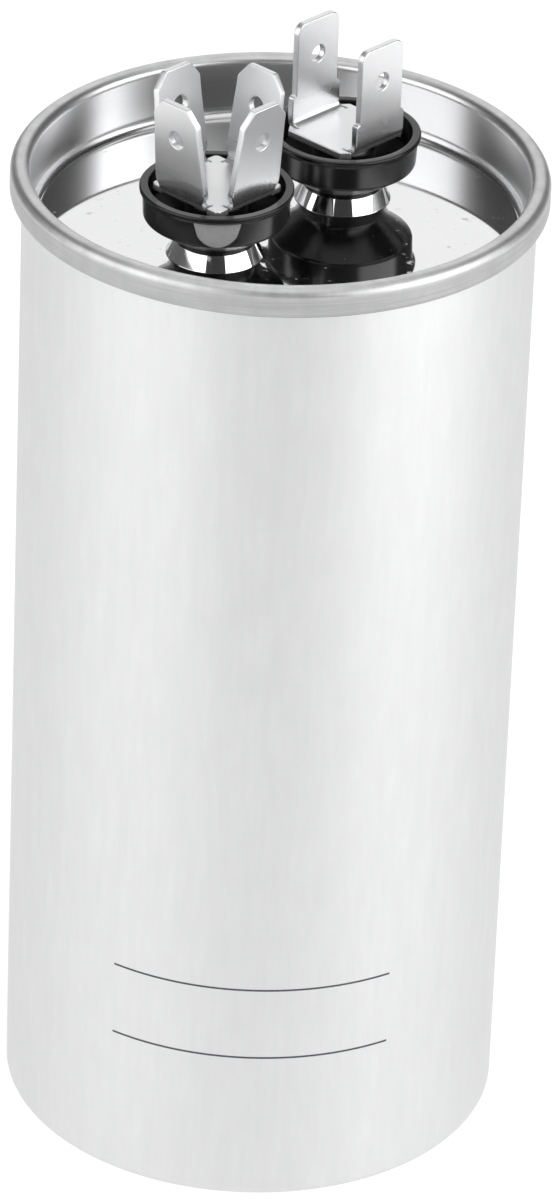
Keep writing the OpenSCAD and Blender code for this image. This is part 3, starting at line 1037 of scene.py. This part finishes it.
class CAPACITOR_OT_cups(bpy.types.Operator):
    """Insulating cups that carry the terminals"""

    bl_idname = "capacitor.cups"
    bl_label = "Cups"

    def execute(self, context):
        scene = context.scene
        material = cup_finish(scene)
        axis = scene.capacitor_cup.axis
        for node, x in (("four_tab_cup", -axis), ("two_tab_cup", axis)):
            obj = turned(node + "_moulding", cup_profile(scene), CUP_SEGMENTS, material, axis_x=x)
            settle(obj, material, crisp=38)
            if node == "four_tab_cup":
                self.trim_gate(scene, obj)
            seat(obj, node)
        return {"FINISHED"}

    def trim_gate(self, scene, obj):
        """Cuts the gate flat into the band of a cup."""
        cup = scene.capacitor_cup
        low, high = gate_plane(scene)
        turn = Matrix.Rotation(cup.gate_turn, 3, "Z")
        clear = 0.001
        reach = cup.rim_radius + clear
        side = [low, high, (reach, high[1]), (reach, low[1])]
        bm = bmesh.new()
        rows = [[bm.verts.new((r, y, z)) for r, z in side] for y in (-cup.rim_radius, cup.rim_radius)]
        for row in rows:
            bm.faces.new(row)
        for i, j in ((0, 1), (1, 2), (2, 3), (3, 0)):
            bm.faces.new((rows[0][i], rows[0][j], rows[1][j], rows[1][i]))
        bmesh.ops.rotate(bm, verts=bm.verts, cent=(0, 0, 0), matrix=turn)
        bmesh.ops.translate(bm, verts=bm.verts, vec=(-cup.axis, 0, 0))
        bmesh.ops.recalc_face_normals(bm, faces=bm.faces)
        tool = mesh_object("gate_tool", bm)
        cut = obj.modifiers.new("Gate", "BOOLEAN")
        cut.operation = "DIFFERENCE"
        cut.solver = "EXACT"
        cut.object = tool
        freeze(obj)
        bpy.data.objects.remove(tool)
        plane = Vector((high[1] - low[1], 0, low[0] - high[0])).normalized()
        plane.rotate(turn)
        flat = {p.index for p in obj.data.polygons if p.normal.dot(plane) > GATE_COSINE}
        if not flat:
            raise RuntimeError("the gate flat was not cut")
        even_normals(obj.data, flat, limit=38)


class CAPACITOR_OT_terminals(bpy.types.Operator):
    """Folded terminals with two and with four push-on blades"""

    bl_idname = "capacitor.terminals"
    bl_label = "Terminals"

    def execute(self, context):
        scene = context.scene
        material = blade_finish(scene)
        seat(self.pair(scene, material), "two_tab_terminal")
        seat(self.quad(scene, material), "four_tab_terminal")
        return {"FINISHED"}

    def pair(self, scene, material):
        """Two parallel blades on a plate with ears."""
        blade = scene.capacitor_blade
        bend = 0.0007
        root_step = 0.0005
        slot_gap = 0.00015
        slot_reach = 0.00035
        ear = 0.0048
        ear_reach = 0.00095
        ear_cut = (0.00075, 0.00095)
        shoulder_drop = 0.0083
        shoulder_cut = 0.0003
        tip_round = 0.0012
        line = blade.pair_span / 2 - blade.sheet / 2 - bend
        run = (bend + blade.sheet / 2) * math.pi / 2
        tip = line + run + blade.height - bend
        half = blade.width / 2
        root = half + root_step
        slot = root + slot_gap
        slot_end = line - slot_reach
        side = line + ear_reach
        shoulder = tip - shoulder_drop
        outline = [(side - ear_cut[0], -ear), (side, -ear + ear_cut[1]), (side, -slot), (slot_end, -slot)]
        outline += [(slot_end, -root), (line, -root), (shoulder - shoulder_cut, -root)]
        outline += [(shoulder, -root + shoulder_cut), (shoulder, -half)]
        outline += arc(tip - tip_round, -half + tip_round, tip_round, -90, 0, 8)
        outline += [(x, -y) for x, y in reversed(outline)]
        outline += [(-x, -y) for x, y in outline]
        hole = tip - blade.hole_drop
        loops = [outline, ring_of_hole(hole, 0, blade.hole), ring_of_hole(-hole, 0, blade.hole)]
        bm = flat_sheet(loops, blade.sheet, blade.edge)

        def in_arm(p):
            return abs(p.y) <= root + ARM_SLACK or p.x > side + WELD

        bend_arms(bm, (0, math.pi), line, bend, lean=0, sheet=blade.sheet, in_arm=in_arm)
        bmesh.ops.rotate(bm, verts=bm.verts, cent=(0, 0, 0), matrix=Matrix.Rotation(math.pi / 2, 3, "Z"))
        return place_terminal(scene, "pair_blades", bm, side=1, lean=0, material=material)

    def quad(self, scene, material):
        """Four leaning blades on a square plate."""
        blade = scene.capacitor_blade
        bend = 0.0008
        lean = blade.quad_lean
        slot_gap = 0.00015
        ear = 0.0049
        ear_round = 0.0005
        shoulder_step = 0.0004
        shoulder_low = 0.0006
        shoulder_high = 0.0012
        shoulder_end = 0.0028
        tip_cuts = ((0.0019, 0), (0.0016, 0.0001), (0.0001, 0.0013), (0, 0.0015))
        line = blade.quad_span / 2 - blade.sheet / 2 - bend
        start = line + (bend + blade.sheet / 2) * (math.pi / 2 - lean)
        tip = start + (blade.height - bend) / math.cos(lean)
        half = blade.width / 2
        wide = half + shoulder_step
        slot = half + slot_gap
        arm = [(line, -half), (start, -half), (start + shoulder_low, -wide), (start + shoulder_high, -wide)]
        arm += [(tip - shoulder_end, -half)]
        arm += [(tip - down, -half + inward) for down, inward in tip_cuts]
        arm += [(x, -y) for x, y in reversed(arm)]
        corner = arc(ear - ear_round, ear - ear_round, ear_round, 0, 90, 6)
        quarter = arm + [(line, slot), (ear, slot)] + corner + [(slot, ear), (slot, line)]
        outline = [(c * x - s * y, s * x + c * y) for c, s in QUARTERS for x, y in quarter]
        hole = tip - blade.hole_drop
        loops = [outline] + [ring_of_hole(hole * c, hole * s, blade.hole) for c, s in QUARTERS]
        bm = flat_sheet(loops, blade.sheet, blade.edge)

        def in_arm(p):
            return (abs(p.y) <= half + ARM_SLACK and p.x > line) or p.x > ear + WELD

        bend_arms(bm, (0, math.pi / 2, math.pi, 1.5 * math.pi), line, bend, lean, blade.sheet, in_arm)
        return place_terminal(scene, "quad_blades", bm, side=-1, lean=lean, material=material)


class CAPACITOR_OT_rules(bpy.types.Operator):
    """Thin printed rules low on the can"""

    bl_idname = "capacitor.rules"
    bl_label = "Printed rules"

    def execute(self, context):
        scene = context.scene
        p = scene.capacitor_print
        material = ink_finish(scene)
        inner = scene.capacitor_can.wall_radius - INK_SUNK
        outer = scene.capacitor_can.wall_radius + INK_PROUD
        start = p.middle - p.spread / 2
        bm = bmesh.new()
        for z in (p.upper, p.lower):
            low = z - p.line / 2
            high = z + p.line / 2
            profile = [(inner, low), (outer, low), (outer, high), (inner, high), (inner, low)]
            obj = turned("rule", profile, RULE_SEGMENTS, material, start=start, sweep=p.spread)
            bm.from_mesh(obj.data)
            bpy.data.objects.remove(obj)
        bmesh.ops.remove_doubles(bm, verts=bm.verts, dist=WELD)
        bmesh.ops.holes_fill(bm, edges=[e for e in bm.edges if e.is_boundary], sides=4)
        rules = mesh_object("printed_rules", bm)
        settle(rules, material, crisp=30)
        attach(rules, BODY)
        return {"FINISHED"}


# finishes inside the can: name, colour, metallic, roughness, stretch of the grain, and the nodes
INSIDE_FINISHES = (
    ("Rivet plated metal", (0.66, 0.67, 0.68), 1, 0.3, even(900), ["four_tab_rivet", "two_tab_rivet"]),
    ("Washer moulding", (0.03, 0.03, 0.032), 0, 0.5, even(1500), ["four_tab_washer", "two_tab_washer"]),
    ("Contact brass", (0.72, 0.55, 0.27), 1, 0.32, even(900), ["four_tab_contact", "two_tab_contact"]),
    ("Tray moulding", (0.82, 0.81, 0.76), 0, 0.5, even(700), ["base_tray", "core_tube", "winding_cover"]),
    ("Sprayed metal", (0.46, 0.47, 0.48), 1, 0.6, even(2600), ["bottom_spray", "top_spray"]),
    ("Wound film", (0.74, 0.72, 0.63), 0, 0.28, (60, 60, 1800), ["winding"]),
    ("Wrap tape", (0.74, 0.69, 0.45), 0, 0.25, (300, 300, 40), ["winding_wrap"]),
    ("Tinned lead", (0.7, 0.6, 0.45), 1, 0.35, even(1200), ["short_lead", "long_lead"]),
)


class CAPACITOR_OT_inside(bpy.types.Operator):
    """Finishes of the rivets and of the pieces inside the can"""

    bl_idname = "capacitor.inside"
    bl_label = "Inside pieces"

    def execute(self, context):
        for name, tone, metal, rough, stretch, nodes in INSIDE_FINISHES:
            material = plain_finish(name, tone, metal, rough, stretch)
            for node in nodes:
                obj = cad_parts[node]
                obj.data.materials.clear()
                obj.data.materials.append(material)
        return {"FINISHED"}


class CAPACITOR_OT_stage(bpy.types.Operator):
    """Pale floor, soft light and the camera"""

    bl_idname = "capacitor.stage"
    bl_label = "Stage"

    def execute(self, context):
        scene = context.scene
        setup = scene.capacitor_stage
        scene.view_settings.view_transform = "Standard"
        self.camera(scene, setup)
        self.floor(setup)
        self.world(scene)
        self.wall(setup)
        self.lights(setup)
        return {"FINISHED"}

    def camera(self, scene, setup):
        """Camera that looks down at the can from the front."""
        data = bpy.data.cameras.new("camera")
        data.sensor_fit = "AUTO"
        data.sensor_width = 36
        data.lens = setup.lens
        data.clip_start = 0.01
        data.clip_end = 50
        cam = new_object("camera", data)
        cos_dip, sin_dip = math.cos(setup.camera_dip), math.sin(setup.camera_dip)
        cos_yaw, sin_yaw = math.cos(setup.camera_yaw), math.sin(setup.camera_yaw)
        cos_roll, sin_roll = math.cos(setup.camera_roll), math.sin(setup.camera_roll)
        ahead = Vector((sin_yaw * cos_dip, cos_yaw * cos_dip, -sin_dip))
        right = Vector((cos_yaw, -sin_yaw, 0))
        up = right.cross(ahead)
        across = right * cos_roll + up * sin_roll
        high = up * cos_roll - right * sin_roll
        basis = Matrix((across, high, -ahead)).transposed().to_4x4()
        basis.translation = Vector((0, -setup.camera_out, setup.camera_up))
        cam.matrix_world = Matrix.Rotation(-setup.camera_turn, 4, "Z") @ basis
        scene.camera = cam

    def floor(self, setup):
        """Floor that is pale to the camera and in mirrors, and keeps the shadow."""
        bm = bmesh.new()
        bmesh.ops.create_grid(bm, x_segments=8, y_segments=8, size=4)
        obj = mesh_object("floor", bm)
        material, tree = self.bare_material("Floor")
        shadow_depth = 0.22
        brightness = 0.88
        grey = (shadow_depth, shadow_depth, shadow_depth, 1)
        plain = fed_node(tree, "ShaderNodeBsdfDiffuse", {"Color": (*setup.floor, 1)})
        soft = fed_node(tree, "ShaderNodeBsdfDiffuse", {"Color": grey})
        glow = fed_node(tree, "ShaderNodeEmission", {"Strength": brightness})
        lit = tree.nodes.new("ShaderNodeAddShader")
        tree.links.new(soft.outputs[0], lit.inputs[0])
        tree.links.new(glow.outputs[0], lit.inputs[1])
        self.by_ray(tree, plain, lit, "ShaderNodeOutputMaterial")
        obj.data.materials.append(material)

    def world(self, scene):
        """Soft room light, white to the camera and in mirrors."""
        scene.world = bpy.data.worlds.new("Studio")
        scene.world.use_nodes = True
        tree = scene.world.node_tree
        tree.nodes.clear()
        white = (1, 1, 1, 1)
        room = fed_node(tree, "ShaderNodeBackground", {"Color": white, "Strength": 0.5})
        seen = fed_node(tree, "ShaderNodeBackground", {"Color": white, "Strength": 1})
        self.by_ray(tree, room, seen, "ShaderNodeOutputWorld")

    def bare_material(self, name):
        """A material with no nodes yet, and its tree."""
        material = bpy.data.materials.new(name)
        material.use_nodes = True
        material.node_tree.nodes.clear()
        return material, material.node_tree

    def by_ray(self, tree, lighting, seen, output):
        """Lets one shader light the object, and shows another to the camera and in mirrors."""
        path = tree.nodes.new("ShaderNodeLightPath").outputs
        ray = math_node(tree, "MAXIMUM", path["Is Camera Ray"], path["Is Glossy Ray"])
        blend = tree.nodes.new("ShaderNodeMixShader")
        for socket, value in zip(blend.inputs, (ray, lighting.outputs[0], seen.outputs[0])):
            tree.links.new(value, socket)
        tree.links.new(blend.outputs[0], tree.nodes.new(output).inputs["Surface"])

    def wall(self, setup):
        """Dark room side behind the camera, seen only in reflections."""
        radius = 1.3
        height = 2.2
        half_sweep = 160
        steps = 24
        bm = bmesh.new()
        rows = []
        for i in range(steps + 1):
            turn = math.radians(-half_sweep + 2 * half_sweep * i / steps) - setup.camera_turn
            x, y = radius * math.sin(turn), -radius * math.cos(turn)
            rows.append([bm.verts.new((x, y, z)) for z in (0, height)])
        for a, b in zip(rows, rows[1:]):
            bm.faces.new((a[0], b[0], b[1], a[1]))
        obj = mesh_object("room_side", bm)
        material, tree = self.bare_material("Room side")
        place = tree.nodes.new("ShaderNodeTexCoord").outputs["Object"]
        tone = range_node(tree, split_node(tree, place)["Z"], low=0.2, high=0.07, start=0.45, end=0.95)
        dark = fed_node(tree, "ShaderNodeBsdfDiffuse", {"Color": tone})
        tree.links.new(dark.outputs[0], tree.nodes.new("ShaderNodeOutputMaterial").inputs["Surface"])
        obj.data.materials.append(material)
        obj.visible_camera = False
        obj.visible_diffuse = False
        obj.visible_shadow = False

    def lights(self, setup):
        """Two soft boxes, left and right of the camera."""
        # name, bearing from the camera in degrees, width, power
        boxes = (("left softbox", -58, 1.0, 4.5), ("right softbox", 64, 0.94, 6.0))
        box_height = 0.8
        distance = 0.75
        above = 0.37
        aim = Vector((0, 0, 0.09))
        for name, bearing, width, power in boxes:
            data = bpy.data.lights.new(name, "AREA")
            data.shape = "RECTANGLE"
            data.size = width
            data.size_y = box_height
            data.energy = power
            lamp = new_object(name, data)
            turn = math.radians(bearing) - setup.camera_turn
            lamp.location = Vector((math.sin(turn) * distance, -math.cos(turn) * distance, above))
            lamp.rotation_euler = (aim - lamp.location).to_track_quat("-Z", "Y").to_euler()
            lamp.visible_camera = False


class CAPACITOR_PT_panel(bpy.types.Panel):
    """Lists the pieces of the capacitor"""

    bl_label = "Capacitor"
    bl_idname = "CAPACITOR_PT_panel"
    bl_space_type = "VIEW_3D"
    bl_region_type = "UI"
    bl_category = "Capacitor"

    def draw(self, context):
        for operator in OPERATORS:
            self.layout.operator(operator.bl_idname)


GROUPS = {
    "capacitor_can": CanSizes,
    "capacitor_lid": LidSizes,
    "capacitor_cup": CupSizes,
    "capacitor_blade": BladeSizes,
    "capacitor_print": PrintSizes,
    "capacitor_finish": FinishColours,
    "capacitor_stage": StageSetup,
}
OPERATORS = (
    CAPACITOR_OT_stage,
    CAPACITOR_OT_can,
    CAPACITOR_OT_lid,
    CAPACITOR_OT_cups,
    CAPACITOR_OT_terminals,
    CAPACITOR_OT_rules,
    CAPACITOR_OT_inside,
)


def register():
    """Registers the sizes, the operators and the panel."""
    for name, group in GROUPS.items():
        bpy.utils.register_class(group)
        setattr(bpy.types.Scene, name, bpy.props.PointerProperty(type=group))
    for operator in OPERATORS:
        bpy.utils.register_class(operator)
    bpy.utils.register_class(CAPACITOR_PT_panel)


def unregister():
    """Takes them out again."""
    bpy.utils.unregister_class(CAPACITOR_PT_panel)
    for operator in reversed(OPERATORS):
        bpy.utils.unregister_class(operator)
    for name, group in reversed(list(GROUPS.items())):
        delattr(bpy.types.Scene, name)
        bpy.utils.unregister_class(group)


def main():
    """Makes the pieces and the stage."""
    register()
    bpy.ops.capacitor.stage()
    bpy.ops.capacitor.can()
    bpy.ops.capacitor.lid()
    bpy.ops.capacitor.cups()
    bpy.ops.capacitor.terminals()
    bpy.ops.capacitor.rules()
    bpy.ops.capacitor.inside()


if __name__ == "__main__":
    main()
